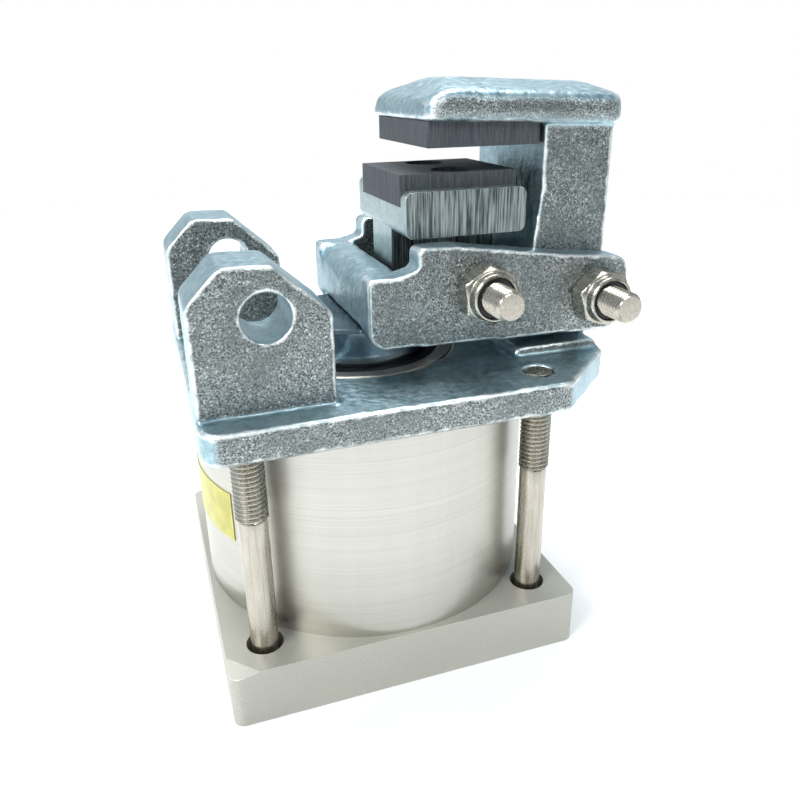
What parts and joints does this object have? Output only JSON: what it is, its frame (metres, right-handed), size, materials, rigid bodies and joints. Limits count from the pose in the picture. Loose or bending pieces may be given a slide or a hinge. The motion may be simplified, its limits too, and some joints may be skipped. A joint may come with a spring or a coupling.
{
  "type": "pneumatic gripper",
  "caption": "Spring-closed, air-opened lever gripper: a round cylinder lifts a forked lever that closes a pivoted lower jaw on a fixed cast upper jaw, with a clevis for mounting.",
  "frame": {"origin": "centre of the base plate's underside, on the cylinder's axis", "axes": "+Z along the cylinder's axis towards the jaws; +X from the clevis ears towards the post; +Y along the pivot pins and the clevis hole, towards the bolt heads"},
  "size_m": [0.1455, 0.1235, 0.1873],
  "materials": {
    "machined_alloy": "satin milled, warm light grey",
    "turned_alloy": "fine turned and clear anodised",
    "zinc_casting": "sand-cast grain under bright zinc plate, worn bright on the edges",
    "zinc_steel": "zinc-plated steel, coarse ground on the front lip",
    "stainless": "stainless fasteners with rolled threads",
    "hard_steel": "hardened, dark and polished",
    "black_steel": "black oxide",
    "pad_lining": "dense pressed friction lining, matt, faint saw marks",
    "bronze": "plain bearing bronze",
    "seal_rubber": "moulded seal",
    "bearing_plastic": "bronze-filled bearing strip",
    "insert_nylon": "dark nylon",
    "spring_steel": "shot-peened wire",
    "label_film": "yellow film, blank"
  },
  "bodies": {
    "frame": {"base_plate": "machined_alloy", "barrel": "turned_alloy", "deck_flange": "zinc_casting", "clevis_ears": "zinc_casting", "jaw_post": "zinc_casting", "upper_jaw": "zinc_casting", "tie_bolts": "stainless", "base_seal": "seal_rubber", "deck_seal": "seal_rubber", "guide_bush": "turned_alloy", "bush_seal": "seal_rubber", "rod_seal": "seal_rubber", "rod_wiper": "seal_rubber", "air_breather": "bronze", "blank_label": "label_film", "clamp_springs": "spring_steel", "upper_pad": "pad_lining", "upper_pad_screws": "black_steel", "post_bushes": "bronze"},
    "ram": {"piston": "turned_alloy", "piston_seal": "seal_rubber", "wear_ring": "bearing_plastic", "plunger": "hard_steel", "plunger_screw": "black_steel"},
    "lever_arm": {"lever_cheeks": "zinc_casting", "lever_bar": "zinc_casting", "lever_bolt": "stainless", "jaw_bolt": "stainless", "lock_nuts": "stainless", "nut_inserts": "insert_nylon"},
    "jaw": {"lower_jaw": "zinc_steel", "lower_pad": "pad_lining", "lower_pad_screws": "black_steel", "jaw_bushes": "bronze"}
  },
  "joints": [
    {"name": "piston_slide", "type": "slide", "parent": "frame", "child": "ram", "axis": [0, 0, 1], "range_m": [-0.0083, 0], "stiffness_N_per_m": 3000, "springref_m": 0.02, "deforming": ["clamp_springs"]},
    {"name": "lever_pivot", "type": "hinge", "parent": "frame", "child": "lever_arm", "pos_m": [0.0735, 0, 0.1197], "axis": [0, 1, 0], "range_deg": [-6, 0]},
    {"name": "lower_jaw_pivot", "type": "hinge", "parent": "lever_arm", "child": "jaw", "pos_m": [0.0325, 0, 0.1246], "axis": [0, 1, 0], "range_deg": [0, 6]}
  ],
  "couplings": [
    {"joint": "lever_pivot", "follows": "piston_slide", "rad_per_m": 12.61},
    {"joint": "lower_jaw_pivot", "follows": "piston_slide", "rad_per_m": -12.61}
  ]
}
